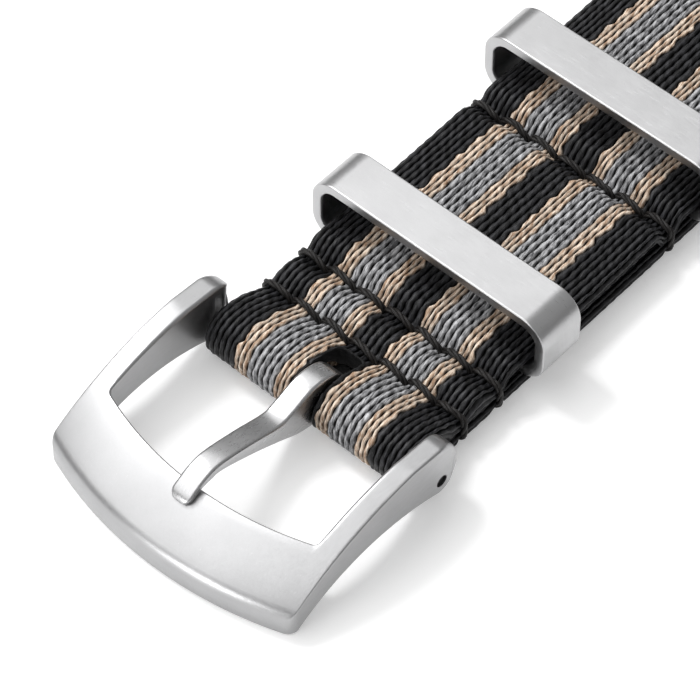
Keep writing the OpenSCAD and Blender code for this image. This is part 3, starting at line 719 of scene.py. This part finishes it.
FRAME_BOX = span("buckle_frame")
HALF_OUT = FRAME_BOX[1][1]
HALF_IN = HALF_OUT - 1.8
BOW_X, BOW_IN, BOW_OUT = 15.2, 28.9, 34.0
CROWN_POS, CROWN_Z, CROWN_R = 20.7, -16.2, 22.6
NOSE_POS, NOSE_R = 32.6, 1.4
ARCH_POS, ARCH_Z, ARCH_R = 25.7, -11.35, 13.7
NOSE_Z = CROWN_Z + math.sqrt((CROWN_R - NOSE_R) ** 2 - (NOSE_POS - CROWN_POS) ** 2)
NOSE_START = CROWN_POS + (NOSE_POS - CROWN_POS) * CROWN_R / (CROWN_R - NOSE_R)
EAR_X, EAR_Z, EAR_R, EAR_LOW = -0.45, 3.85, 2.3, 1.28
EAR_FALL = math.radians(4.5)
EAR_END = EAR_X + EAR_R
CORNER_R = 1.0
INNER_CORNER = 0.5
FRONT_SPREAD = np.array([0.012, 0.03, 0.055, 0.09, 0.13, 0.2, 0.34, 0.52, 0.72, 0.88])
ARM_SPREAD = np.linspace(0, 1, 12)[1:-1]
EDGE_TURN = np.radians(np.linspace(0, 80, 6))


def frame_top(r, x):
    """Crowned top, whose arms fall a little to the ears."""
    crown = CROWN_Z + np.sqrt(CROWN_R ** 2 - (r - CROWN_POS) ** 2)
    nose = NOSE_Z + np.sqrt(np.maximum(NOSE_R ** 2 - (r - NOSE_POS) ** 2, 0))
    top_x = EAR_X + EAR_R * math.sin(EAR_FALL)
    fall = EAR_Z + EAR_R * math.cos(EAR_FALL) + (top_x - x) * math.tan(EAR_FALL)
    return np.minimum(np.where(r < NOSE_START, crown, nose), fall)


def frame_bottom(r, x):
    return np.maximum(0, ARCH_Z + np.sqrt(np.maximum(ARCH_R ** 2 - (r - ARCH_POS) ** 2, 0)))


def rounded_drop(d, radius):
    """How far a rounded edge lies inside the corner, at distance d from it."""
    return radius - np.sqrt(np.maximum(radius ** 2 - np.maximum(radius - d, 0) ** 2, 0))


def band(outer, inner, spread, round_out, round_in, height, away):
    """Points across the frame from its outer to its inner side, with rounded edges. away points out of it."""
    width = math.hypot(inner[0] - outer[0], inner[1] - outer[1])
    near = round_out * (1 - np.cos(EDGE_TURN))
    far = width - round_in * (1 - np.cos(EDGE_TURN[::-1]))
    d = np.concatenate([near, near[-1] + (far[0] - near[-1]) * spread, far])
    plan = np.array(outer) + (np.array(inner) - outer) * (d / width)[:, None]
    drop = rounded_drop(d, round_out) + rounded_drop(width - d, round_in)
    z = height(np.hypot(BOW_X - plan[:, 0], plan[:, 1]), plan[:, 0])
    return np.stack([plan[:, 0] - away[0] * drop, plan[:, 1], z - away[1] * drop], 1)


def frame_ring(outer, inner, arm, end=0.0):
    """Section of the frame from outer to inner. arm is 0 on the front bar, and end grows to 1 at an ear's end."""
    spread = FRONT_SPREAD * (1 - arm) + ARM_SPREAD * arm
    up = band(outer, inner, spread, 0.08 + 0.06 * arm + 0.08 * end, 0.22 + 0.08 * arm, frame_top, (0, 1))
    low = band(outer, inner, spread, 0.14, 0.14, frame_bottom, (0, -1))
    return np.concatenate([up, low[::-1]])


def ear_side(x, radius):
    """How far an ear's rounded end lies inside its side, seen from above."""
    turn = min(max((x - EAR_END + radius) / radius, 0), 1)
    return radius * (1 - math.sqrt(1 - turn ** 2))


def ear_ring(top, low, top_away, low_away, u):
    """Section of an ear's round end, whose outer edge is roundest halfway."""
    top_radii = (0.22 - 0.08 * u + 0.4 * math.sin(math.pi * u), 0.3 - 0.16 * u)
    rows = []
    for (x, z), away, radii in ((top, top_away, top_radii), (low, low_away, (0.14, 0.14))):
        y_out, y_in = HALF_OUT - ear_side(x, 0.15), HALF_IN + ear_side(x, 1.05)
        out, into = min(radii[0], 0.7 * (y_out - y_in)), min(radii[1], 0.25 * (y_out - y_in))
        rows.append(band((x, y_out), (x, y_in), ARM_SPREAD, out, into, lambda r, px: 0 * r + z, away))
    return np.concatenate([rows[0], rows[1][::-1]])


def half_frame():
    """Rings of the frame from the middle of the front bar to the end of the +Y ear."""
    rings = []
    out_y, in_y = HALF_OUT - CORNER_R, HALF_IN - INNER_CORNER
    turn_out = math.asin(out_y / (BOW_OUT - CORNER_R))
    turn_in = math.asin(in_y / (BOW_IN - INNER_CORNER))
    out_x = BOW_X - (BOW_OUT - CORNER_R) * math.cos(turn_out)
    in_x = BOW_X - (BOW_IN - INNER_CORNER) * math.cos(turn_in)

    def bow(radius, a):
        return BOW_X - radius * math.cos(a), radius * math.sin(a)

    def corner(x, y, r, a):
        return x - r * math.cos(a), y + r * math.sin(a)

    quarter = math.pi / 2
    for u in np.linspace(0, 1, 44):
        rings.append(frame_ring(bow(BOW_OUT, turn_out * u), bow(BOW_IN, turn_in * u), 0))
    for u in np.linspace(0, 1, 11)[1:]:
        outer = corner(out_x, out_y, CORNER_R, turn_out + (quarter - turn_out) * u)
        inner = corner(in_x, in_y, INNER_CORNER, turn_in + (quarter - turn_in) * 0.6 * u)
        rings.append(frame_ring(outer, inner, 0.25 * u))
    joined = in_x + 0.7
    for u in np.linspace(0, 1, 15)[1:]:
        b = turn_in + (quarter - turn_in) * (0.6 + 0.4 * min(1, u * 1.6))
        inner = corner(in_x, in_y, INNER_CORNER, b)
        inner = (inner[0] + (joined - inner[0]) * ease(np.array(u)) if u > 0.6 else inner[0], inner[1])
        rings.append(frame_ring((out_x + (joined - out_x) * u, HALF_OUT), inner, 0.25 + 0.75 * u))
    stop = EAR_X + EAR_R * math.sin(EAR_FALL)
    for x in np.linspace(joined, stop, 34)[1:]:
        rings.append(frame_ring((x, HALF_OUT), (x, HALF_IN), 1, float(ease(np.array((x + 6) / 6)))))
    lean = math.acos((EAR_LOW - EAR_R) / math.hypot(EAR_X, EAR_Z - PIN_Z)) - math.atan2(EAR_Z - PIN_Z, EAR_X)
    for u in np.linspace(0, 1, 44)[1:]:
        a = quarter - EAR_FALL - (quarter - EAR_FALL + lean) * u
        top = (EAR_X + EAR_R * math.cos(a), EAR_Z + EAR_R * math.sin(a))
        if u < 0.75:
            b = -quarter + (quarter - lean) * u / 0.75
            low = (max(EAR_LOW * math.cos(b), stop * (1 - u * 4)), PIN_Z + EAR_LOW * math.sin(b))
        else:
            v = (u - 0.75) / 0.25
            low = tuple((1 - v) * np.array([EAR_LOW * math.cos(lean), PIN_Z - EAR_LOW * math.sin(lean)])
                        + v * np.array([EAR_X + EAR_R * math.cos(lean), EAR_Z - EAR_R * math.sin(lean)]))
            b = -lean
        rings.append(ear_ring(top, low, (math.cos(a), math.sin(a)), (math.cos(b), math.sin(b)), u))
    return np.array(rings)


def drill(obj, x, z, radius, half):
    """Cuts a round hole along Y through a piece."""
    turn = np.linspace(0, 2 * np.pi, 40, endpoint=False)
    ring = np.stack([x + radius * np.cos(turn), 0 * turn, z + radius * np.sin(turn)], 1)
    cutter = loft("cutter", [ring + [0, -half, 0], ring + [0, half, 0]], [])
    cut = obj.modifiers.new("hole", "BOOLEAN")
    cut.object = cutter
    cut.solver = "EXACT"
    made = bpy.data.meshes.new_from_object(obj.evaluated_get(bpy.context.evaluated_depsgraph_get()))
    obj.modifiers.clear()
    obj.data = made
    bpy.data.objects.remove(cutter)


def buckle():
    left = half_frame()
    right = (left * [1, -1, 1])[::-1]
    obj = loft("satin_buckle", np.concatenate([right, left[1:]]), [BUCKLE_STEEL], cap=False)
    drill(obj, 0, PIN_Z, 0.55, HALF_OUT + 1)
    edge = (HALF_OUT - 0.001) * MM
    for face in obj.data.polygons:
        face.use_smooth = not all(abs(obj.data.vertices[v].co.y) > edge for v in face.vertices)
    even_normals(obj)
    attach(obj, "buckle")
    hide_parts("buckle_frame")


def crown_above(x):
    return float(frame_top(np.array(BOW_X - x), np.array(x))) - PIN_Z


TONGUE_HALF = 0.95
TONGUE_NOSE_R = 0.6
TONGUE_BEVEL = 0.24
EYE_OUT = 2.2


def rounded_box(w, tall, r, middle):
    """Ring of points round a box of half width w and half height tall, in Y and Z."""
    ring = []
    for cy, cz, start in ((w - r, tall - r, 0), (r - w, tall - r, 90), (r - w, r - tall, 180), (w - r, r - tall, 270)):
        for a in np.radians(start + np.linspace(0, 90, 6)):
            ring.append((cy + r * math.cos(a), middle + cz + r * math.sin(a)))
    return ring


def tongue():
    edge, tip_t, root_t, dip = -13.7, 0.95, 2.0, 2.05
    nose = edge - 1.7
    crest_x, crest = edge + 2.1, crown_above(edge) + 0.05 + tip_t + 0.15
    rise_x, rise = (-5.4 + crest_x) / 2, dip + 0.56 * (crest - dip)
    top = [(nose, crown_above(nose) + tip_t / 2), (edge - 0.8, crest - 0.75), (edge + 0.5, crest - 0.15),
           (crest_x, crest), (rise_x, rise), (-5.4, dip), (-4.2, dip + 0.1), (-2.6, 2.7), (-1.3, 2.95), (0, 2.75),
           (1.0, 2.25), (1.56, 1.56)]
    under = [(nose, crown_above(nose) + 0.1), (edge - 0.6, crown_above(edge - 0.6) + 0.05),
             (edge, crown_above(edge) + 0.1), (edge + 0.9, crest - tip_t), (crest_x, crest - tip_t - 0.05),
             (rise_x, rise - (tip_t + root_t) / 2), (-5.4, dip - root_t), (-3.4, -1.0), (-1.6, -1.5), (-1.1, -1.5)]
    high, _ = smooth_line(top, 0.05)
    low, _ = smooth_line(under, 0.05)
    low = np.concatenate([low, [(-1.0, 1.2), (0, 1.6), (1.0, 1.25), (1.6, 0.6)]])
    round_off = np.cos(np.linspace(np.pi / 2, 0, 10))
    stations = np.concatenate([nose + TONGUE_NOSE_R * (1 - np.sqrt(1 - round_off ** 2)),
                               np.linspace(nose + TONGUE_NOSE_R, -1.1, 90)[1:], np.linspace(-1.0, 1.5, 24)])
    rings = []
    for x in stations:
        z1, z0 = np.interp(x, high[:, 0], high[:, 1]), np.interp(x, low[:, 0], low[:, 1])
        into = max(TONGUE_NOSE_R - (x - nose), 0)
        w = TONGUE_HALF - TONGUE_NOSE_R + math.sqrt(max(TONGUE_NOSE_R ** 2 - into ** 2, 0))
        tall = (z1 - z0) / 2 * math.sqrt(max(1 - max(1 - (x - nose) / 0.3, 0) ** 2, 0.03))
        r = min(TONGUE_BEVEL, 0.7 * tall, 0.7 * w)
        rings.append([(x, y, z + PIN_Z) for y, z in rounded_box(w, tall, r, (z0 + z1) / 2)])
    blade = loft("tongue_blade", rings, [TONGUE_STEEL])
    middle = (EYE_OUT + EYE_R + 0.02) / 2
    profile = [(r, y) for y, r in rounded_box(TONGUE_HALF, (EYE_OUT - EYE_R - 0.02) / 2, 0.2, middle)]
    turns = np.linspace(0, 2 * np.pi, 65)[:-1]
    rings = [[(r * math.cos(a), y, PIN_Z + r * math.sin(a)) for r, y in profile] for a in turns]
    eye = loft("tongue_eye", rings, [TONGUE_STEEL], closed=True)
    for obj in (blade, eye):
        even_normals(obj)
        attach(obj, "tongue")
    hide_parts("buckle_tongue")


BAND_BEND = 1.3
BAND_EDGES = ((1, 1, 0.14, 0), (0, 1, 0.14, 90), (0, 0, 0.24, 180), (1, 0, 0.24, 270))


def keeper(node, body):
    """A flat band bent into an oblong ring, with wider bevels along its inner edges."""
    lo, hi = span(node)
    half, low, high = hi[1] - KEEPER_T - BAND_BEND, lo[2] + KEEPER_T + BAND_BEND, hi[2] - KEEPER_T - BAND_BEND
    path = []
    for cy, cz, start, step in ((half, high, 0, (-2 * half, 0)), (-half, high, 90, (0, low - high)),
                                (-half, low, 180, (2 * half, 0)), (half, low, 270, (0, high - low))):
        turn = np.radians(start + np.linspace(0, 90, 17))
        path += [(cy, cz, math.cos(a), math.sin(a)) for a in turn]
        path += [(cy + step[0] * u, cz + step[1] * u, math.cos(turn[-1]), math.sin(turn[-1]))
                 for u in np.linspace(0, 1, 6)[1:-1]]
    width = hi[0] - lo[0]
    profile = []
    for right, out, r, start in BAND_EDGES:
        cx, cn = (width - r if right else r), (KEEPER_T - r if out else r)
        profile += [(cx + r * math.cos(a), cn + r * math.sin(a)) for a in np.radians(start + np.linspace(0, 90, 5))]
    rings = [[(lo[0] + px, cy + ny * (BAND_BEND + pn), cz + nz * (BAND_BEND + pn)) for px, pn in profile]
             for cy, cz, ny, nz in path]
    obj = loft(node + "_band", rings, [KEEPER_STEEL], closed=True)
    even_normals(obj)
    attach(obj, body)
    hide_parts(node)


def fused_edge(name, rings, body, closed=False):
    """A bead of fused black yarn."""
    rings = np.asarray(rings, float)
    n, m = rings.shape[:2]
    along = np.concatenate([[0], np.cumsum(np.linalg.norm(np.diff(rings[:, 0], axis=0), axis=1))])
    fibre = np.stack(np.broadcast_arrays(along[:, None], np.arange(m)[None, :] * 0.2, 0.0), 2).reshape(-1, 3)
    obj = loft(name, rings, [FUSED], closed, attributes={
        "fibre": ("FLOAT_VECTOR", fibre), "crease_shade": ("FLOAT", np.zeros(n * m))})
    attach(obj, body)


LIP = ((0.2, 0.03), (0.09, 0.0), (-0.01, 0.02), (-0.05, 0.14), (-0.06, 0.5), (-0.05, 0.86), (-0.01, 0.98),
       (0.09, 1.0), (0.2, 0.97))


def squarish(start, end):
    """Points round the end of a slot with rounded corners."""
    a = np.radians(np.linspace(start, end, 29))
    c, s = np.cos(a), np.sin(a)
    return list(zip(np.sign(c) * np.sqrt(np.abs(c)), np.sign(s) * np.sqrt(np.abs(s))))


def slot_edge(path, end, half):
    """Fused edge round the tongue's slot, which runs from the underside round the fold to the face."""
    s = np.concatenate([[0], np.cumsum(np.hypot(np.diff(path[:, 0]), np.diff(path[:, 1])))])
    fold = int(np.argmin(path[:, 0]))
    low = float(np.interp(-end, -path[:fold, 0], s[:fold]))
    past = fold + int(np.argmax(path[fold:, 0] > end + 0.5))
    high = float(np.interp(end, path[fold:past, 0], s[fold:past]))
    line = [(high - half + half * c, half * s, c, s) for c, s in squarish(-90, 90)]
    line += [(u, half, 0, 1) for u in np.linspace(high - half, low + half, 70)[1:-1]]
    line += [(low + half + half * c, half * s, c, s) for c, s in squarish(90, 270)]
    line += [(u, -half, 0, -1) for u in np.linspace(low + half, high - half, 70)[1:-1]]
    rings = []
    for at, y, along, across in line:
        ring = []
        for out, deep in LIP:
            x, z, dx, dz, t = (np.interp(at + along * out, s, path[:, k]) for k in range(5))
            ring.append((x + dx * t * deep, y + across * out, z + dz * t * deep))
        rings.append(ring)
    fused_edge("slot_edge", rings, "strap", closed=True)


def hole_rims():
    """Melted rims of the adjusting holes."""
    lip = ((0.38, -0.1), (0.3, 0.03), (0.12, 0.05), (0.02, -0.05))
    for i, hole in enumerate(HOLES, 1):
        rings = []
        for a in np.linspace(0, 2 * np.pi, 41)[:-1]:
            rough = 1 + 0.03 * math.sin(5 * a + i) + 0.02 * math.sin(9 * a + 2 * i)
            radii = [(HOLE_R + r, WEB_T + z) for r, z in lip] + [(HOLE_R, WEB_T / 2)]
            radii += [(HOLE_R + r, -z) for r, z in reversed(lip)]
            rings.append([(hole + r * rough * math.cos(a), r * rough * math.sin(a), z) for r, z in radii])
        fused_edge(f"hole_rim_{i}", rings, "tail", closed=True)


def tip_edge():
    """Melted bead round the tip."""
    a = np.radians(np.linspace(-90, 90, 61))
    x = TIP_X - TIP_LEN + TIP_LEN * np.cos(a)
    y = HALF_W * np.sign(np.sin(a)) * np.abs(np.sin(a)) ** 0.8
    along = np.stack([np.gradient(x), np.gradient(y)], 1)
    along /= np.linalg.norm(along, axis=1)[:, None]
    rings = []
    for px, py, (tx, ty) in zip(x, y, along):
        turn = np.radians(np.linspace(0, 360, 13)[:-1])
        reach, tall = 0.42 * np.cos(turn) - 0.4, (WEB_T / 2 + 0.02) * np.sin(turn)
        rings.append([(px + ty * r, py - tx * r, WEB_T / 2 + h) for r, h in zip(reach, tall)])
    fused_edge("tip_edge", rings, "tail")


def cut_end(name, x, z, body, thick=WEB_T):
    """Sealed end of a layer, across the strap at x, between z and z plus its thickness."""
    rings = []
    for y in np.linspace(-HALF_W + 0.25, HALF_W - 0.25, 60):
        turn = np.radians(np.linspace(0, 360, 13)[:-1])
        wave = 0.03 * math.sin(4.1 * y) + 0.02 * math.sin(11 * y)
        rings.append([(x + wave + 0.2 * math.cos(a), y, z + thick / 2 + (thick / 2 + 0.03) * math.sin(a))
                      for a in turn])
    fused_edge(name, rings, body)


# Building
DROOP = (0.3, 0.6)
SLOT_HALF = 1.25
SLOT_END = 3.9
FACE_STEP = 0.22


def photo_step(x):
    return np.where(x < 63, FACE_STEP, 0.5)


def coarse_step(x):
    return np.full(np.shape(x), 0.5)


def row_point(x, z):
    """A point on the centre line, in the row's frame."""
    return tuple(np.array([x, 0, z]) * MM + ORIGIN)


long_path = long_strap_path()
long_strap = webbing("long_strap_webbing", long_path, photo_step, 1, ROWS[:5], (SLOT_END, SLOT_HALF), hang=True)
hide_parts("strap_buckle_end", "strap_middle")
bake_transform(long_strap)
fold_back = webbing("fold_back_webbing", fold_back_path(), coarse_step)
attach(fold_back, "strap")
tail = webbing("tail_webbing", tail_path(), lambda x: np.where(x > 143, 0.35, 0.5), 2, holes=HOLES)
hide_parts("strap_tail")
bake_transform(tail)
under_strap = webbing("under_strap_webbing", under_strap_path(), coarse_step)
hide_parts("under_strap_start", "under_strap_end")
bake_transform(under_strap)
slot_edge(long_path, SLOT_END, SLOT_HALF)
hole_rims()
tip_edge()
cut_end("fold_back_end", FOLD_END, WEB_T, "strap")
cut_end("under_strap_cut", ROWS[3] - 1.6, 0, "strap")
cut_end("under_strap_return_cut", RETURN_END, WEB_T, "middle")
thread_rows()
buckle()
tongue()
keeper("keeper_front", "front_keeper")
keeper("keeper_rear", "rear_keeper")
keeper("keeper_end", "middle")


SPRING_TURNS = 14
WIRE_R = 0.1


def spring_half(sign, plunger):
    """Half of the bar's spring, which its plunger squeezes towards the middle."""
    low, high = span("bar_spring")
    coil_r = (high[2] - low[2]) / 2 - WIRE_R
    reach = high[1] - WIRE_R
    along = np.array([0, sign, 0])
    rings = []
    for u in np.linspace(0, 1, 12 * SPRING_TURNS):
        a = math.pi * SPRING_TURNS * u
        out = np.array([math.cos(a), 0, sign * math.sin(a)])
        centre = [0, sign * reach * u, PIN_Z] + coil_r * out
        rings.append([centre + WIRE_R * (math.cos(b) * out + math.sin(b) * along)
                      for b in np.linspace(0, 2 * np.pi, 9)[:-1]])
    coil = loft(f"spring_to_{plunger}", rings, [SPRING_STEEL])
    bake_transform(coil)
    if sign > 0:
        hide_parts("bar_spring")


def dress(node, material):
    for slot in frame["nodes"][node].material_slots:
        slot.link = "OBJECT"
        slot.material = material


dress("bar_barrel", PIN_STEEL)
dress("bar_plunger_left", SHADED_TIP_STEEL)
dress("bar_plunger_right", SHADED_TIP_STEEL)
spring_half(1, "plunger_left")
spring_half(-1, "plunger_right")


# Floor, light and camera
def floor():
    """A pale floor that keeps the shadow, and looks white to the camera and in reflections."""
    far = 3000
    obj = make_mesh("floor", [[-far, -far, -0.06], [far, -far, -0.06], [far, far, -0.06], [-far, far, -0.06]],
                    [[0, 1, 2, 3]], [])
    material = bpy.data.materials.new("pale_floor")
    material.use_nodes = True
    tree = material.node_tree
    tree.nodes.clear()
    link = tree.links.new
    out = add(tree, "ShaderNodeOutputMaterial")
    diffuse = add(tree, "ShaderNodeBsdfDiffuse", Color=(0.8, 0.8, 0.8, 1))
    glow = add(tree, "ShaderNodeEmission", Strength=0.3)
    both = add(tree, "ShaderNodeAddShader")
    link(diffuse.outputs[0], both.inputs[0])
    link(glow.outputs[0], both.inputs[1])
    path = add(tree, "ShaderNodeLightPath")
    seen = add(tree, "ShaderNodeMath", operation="MAXIMUM")
    link(path.outputs["Is Camera Ray"], seen.inputs[0])
    link(path.outputs["Is Glossy Ray"], seen.inputs[1])
    through = add(tree, "ShaderNodeMath", operation="MAXIMUM")
    link(seen.outputs[0], through.inputs[0])
    link(path.outputs["Is Transmission Ray"], through.inputs[1])
    pick = add(tree, "ShaderNodeMixShader")
    link(through.outputs[0], pick.inputs[0])
    link(diffuse.outputs[0], pick.inputs[1])
    link(both.outputs[0], pick.inputs[2])
    link(pick.outputs[0], out.inputs["Surface"])
    obj.data.materials.append(material)


def lamp(name, place, aim, size, power):
    light = bpy.data.lights.new(name, "AREA")
    light.shape = "DISK"
    light.size = size * MM
    light.energy = power
    obj = bpy.data.objects.new(name, light)
    bpy.context.scene.collection.objects.link(obj)
    obj.location = Vector(row_point(0, 0)) + Vector(place) * MM
    obj.rotation_euler = (Vector(aim) - Vector(place)).to_track_quat("-Z", "Y").to_euler()


def world():
    """Even light from above that gets darker towards the horizon."""
    made = bpy.data.worlds.new("soft_room")
    made.use_nodes = True
    tree = made.node_tree
    way = add(tree, "ShaderNodeSeparateXYZ")
    tree.links.new(add(tree, "ShaderNodeTexCoord").outputs["Generated"], way.inputs[0])
    height = ramp(tree, way.outputs["Z"], 0.0, 0.6, 0.14, 0.44)
    tree.links.new(height, tree.nodes["Background"].inputs["Strength"])
    tree.nodes["Background"].inputs["Color"].default_value = (1, 1, 1, 1)
    bpy.context.scene.world = made


def camera():
    place, aim = Vector((-129.98, -118.03, 234.22)), Vector((4.166, 0.639, 3.0))
    data = bpy.data.cameras.new("photo_camera")
    data.sensor_width = 36
    data.lens = 3867.8 / 700 * 36
    data.clip_start, data.clip_end = 0.01, 10
    obj = bpy.data.objects.new("photo_camera", data)
    bpy.context.scene.collection.objects.link(obj)
    back = (place - aim).normalized()
    right = Vector((0, 0, 1)).cross(back).normalized()
    up = back.cross(right)
    roll = math.radians(0.376)
    r = right * math.cos(roll) + up * math.sin(roll)
    u = up * math.cos(roll) - right * math.sin(roll)
    turn = Matrix((r, u, back)).transposed().to_4x4()
    obj.matrix_world = Matrix.Translation(Vector(row_point(0, 0)) + place * MM) @ turn
    bpy.context.scene.camera = obj

floor()
world()
lamp("key", (-150, 165, 345), (10, 0, 0), 450, 0.9)
lamp("side", (20, 250, 340), (20, 0, 0), 110, 0.78)
lamp("sky", (190, 165, 340), (20, 0, 0), 260, 0.22)
lamp("front", (-330, 60, 70), (0, 0, 0), 120, 0.3)
camera()
bpy.context.scene.view_settings.view_transform = "Standard"
